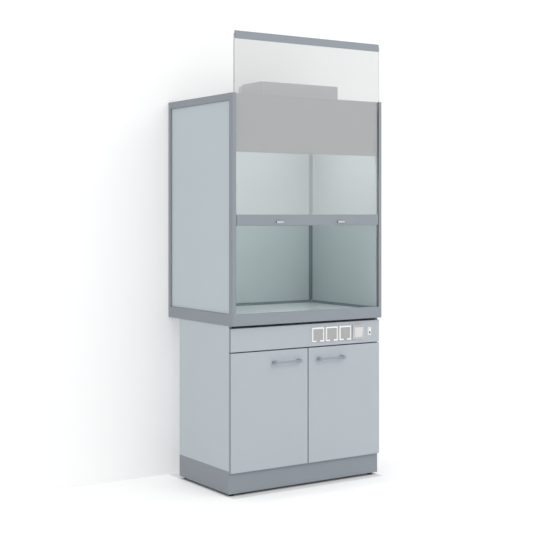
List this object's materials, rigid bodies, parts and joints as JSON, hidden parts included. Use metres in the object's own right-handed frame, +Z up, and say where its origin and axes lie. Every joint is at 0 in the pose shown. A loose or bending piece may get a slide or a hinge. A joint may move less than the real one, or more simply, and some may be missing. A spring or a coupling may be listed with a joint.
{
  "type": "fume hood",
  "caption": "Floor-standing fume hood on a base cabinet, with a counterbalanced vertical glass sash, hinged doors, capped sockets and an exhaust spigot on its roof.",
  "frame": {"origin": "on the floor, under the middle of the outline", "axes": "+Z up, +Y from the front to the back, +X to the right as seen from the front"},
  "size_m": [1.037, 0.736, 2.538],
  "materials": {
    "frame_paint": "satin powder coat, blue grey",
    "panel_paint": "satin powder coat, light grey",
    "liner": "smooth pale laminate",
    "transom_paint": "satin",
    "worktop": "smooth pale compact laminate",
    "trim": "satin dark blue grey",
    "galvanised": "zinc coated sheet",
    "opal": "opal diffuser",
    "glass": "clear toughened glass",
    "chrome": "polished",
    "steel": "plain",
    "cable": "stranded",
    "nylon": "natural",
    "board": "melamine faced board, light grey",
    "handle_paint": "satin powder coat, blue grey",
    "plinth_paint": "satin powder coat, blue grey",
    "foot": "black",
    "socket_white": "white",
    "lid_grey": "light grey",
    "switch_white": "off white",
    "rocker_white": "white, with a green window"
  },
  "bodies": {
    "frame": {"front_post_left": "frame_paint", "front_post_right": "frame_paint", "rear_post_left": "frame_paint", "rear_post_right": "frame_paint", "top_rail_left": "frame_paint", "top_rail_right": "frame_paint", "top_rail_rear": "frame_paint", "bottom_rail_left": "frame_paint", "bottom_rail_right": "frame_paint", "bottom_rail_front": "frame_paint", "bottom_rail_rear": "frame_paint", "side_panel_left": "panel_paint", "side_panel_right": "panel_paint", "back_panel": "panel_paint", "liner_left": "liner", "liner_right": "liner", "liner_back": "liner", "roof_panel": "galvanised", "transom_panel": "transom_paint", "worktop": "worktop", "chamber_trims": "trim", "exhaust_spigot": "galvanised", "lamp_housing": "panel_paint", "lamp_diffuser": "opal", "sash_cables_front": "cable", "sash_cables_top": "cable", "sash_cables_rear": "cable", "cabinet_side_left": "board", "cabinet_side_right": "board", "cabinet_bottom": "board", "cabinet_top": "board", "cabinet_back": "board", "shelf": "board", "fascia": "board", "hinge_arms": "steel", "plinth": "plinth_paint", "levelling_feet": "foot", "sockets": "socket_white", "main_switch_frame": "switch_white", "rocker_bezel": "socket_white"},
    "sash": {"sash_glass": "glass", "sash_top_rail": "frame_paint", "sash_handle_rail": "frame_paint", "finger_pulls": "chrome"},
    "counterweight": {"counterweight": "steel"},
    "pulley_front_left": {"pulley_front_left": "nylon"},
    "pulley_front_right": {"pulley_front_right": "nylon"},
    "pulley_rear_left": {"pulley_rear_left": "nylon"},
    "pulley_rear_right": {"pulley_rear_right": "nylon"},
    "door_left": {"door_left": "board", "door_handle_left": "handle_paint", "hinge_cups_left": "steel"},
    "door_right": {"door_right": "board", "door_handle_right": "handle_paint", "hinge_cups_right": "steel"},
    "socket_lid_left": {"socket_lid_left": "lid_grey"},
    "socket_lid_middle": {"socket_lid_middle": "lid_grey"},
    "socket_lid_right": {"socket_lid_right": "lid_grey"},
    "main_switch_key": {"main_switch_key": "switch_white"},
    "rocker_key": {"rocker_key": "rocker_white"}
  },
  "joints": [
    {"name": "sash_slide", "type": "slide", "parent": "frame", "child": "sash", "axis": [0, 0, 1], "range_m": [-0.48, 0.4], "deforming": ["sash_cables_front"]},
    {"name": "counterweight_slide", "type": "slide", "parent": "frame", "child": "counterweight", "axis": [0, 0, 1], "range_m": [-0.4, 0.48], "deforming": ["sash_cables_rear"]},
    {"name": "pulley_front_left_spin", "type": "hinge", "parent": "frame", "child": "pulley_front_left", "pos_m": [-0.5005, -0.322, 2.175], "axis": [-1, 0, 0], "continuous": true},
    {"name": "pulley_front_right_spin", "type": "hinge", "parent": "frame", "child": "pulley_front_right", "pos_m": [0.5005, -0.322, 2.175], "axis": [-1, 0, 0], "continuous": true},
    {"name": "pulley_rear_left_spin", "type": "hinge", "parent": "frame", "child": "pulley_rear_left", "pos_m": [-0.5005, 0.335, 2.175], "axis": [-1, 0, 0], "continuous": true},
    {"name": "pulley_rear_right_spin", "type": "hinge", "parent": "frame", "child": "pulley_rear_right", "pos_m": [0.5005, 0.335, 2.175], "axis": [-1, 0, 0], "continuous": true},
    {"name": "door_left_hinge", "type": "hinge", "parent": "frame", "child": "door_left", "pos_m": [-0.5135, -0.315, 0.45525], "axis": [0, 0, -1], "range_deg": [0, 105]},
    {"name": "door_right_hinge", "type": "hinge", "parent": "frame", "child": "door_right", "pos_m": [0.5135, -0.315, 0.45525], "axis": [0, 0, 1], "range_deg": [0, 105]},
    {"name": "socket_lid_left_hinge", "type": "hinge", "parent": "frame", "child": "socket_lid_left", "pos_m": [0.065, -0.34025, 0.88375], "axis": [-1, 0, 0], "range_deg": [0, 100], "stiffness_Nm_per_rad": 0.02, "springref_deg": -11.46},
    {"name": "socket_lid_middle_hinge", "type": "hinge", "parent": "frame", "child": "socket_lid_middle", "pos_m": [0.1615, -0.34025, 0.88375], "axis": [-1, 0, 0], "range_deg": [0, 100], "stiffness_Nm_per_rad": 0.02, "springref_deg": -11.46},
    {"name": "socket_lid_right_hinge", "type": "hinge", "parent": "frame", "child": "socket_lid_right", "pos_m": [0.258, -0.34025, 0.88375], "axis": [-1, 0, 0], "range_deg": [0, 100], "stiffness_Nm_per_rad": 0.02, "springref_deg": -11.46},
    {"name": "main_switch_rock", "type": "hinge", "parent": "frame", "child": "main_switch_key", "pos_m": [0.3545, -0.338, 0.8535], "axis": [-1, 0, 0], "range_deg": [0, 6]},
    {"name": "rocker_rock", "type": "hinge", "parent": "frame", "child": "rocker_key", "pos_m": [0.4385, -0.3305, 0.8535], "axis": [-1, 0, 0], "range_deg": [0, 12]}
  ],
  "couplings": [
    {"joint": "counterweight_slide", "follows": "sash_slide", "ratio": -1},
    {"joint": "pulley_front_left_spin", "follows": "sash_slide", "rad_per_m": 52.632},
    {"joint": "pulley_front_right_spin", "follows": "sash_slide", "rad_per_m": 52.632},
    {"joint": "pulley_rear_left_spin", "follows": "sash_slide", "rad_per_m": 52.632},
    {"joint": "pulley_rear_right_spin", "follows": "sash_slide", "rad_per_m": 52.632}
  ]
}
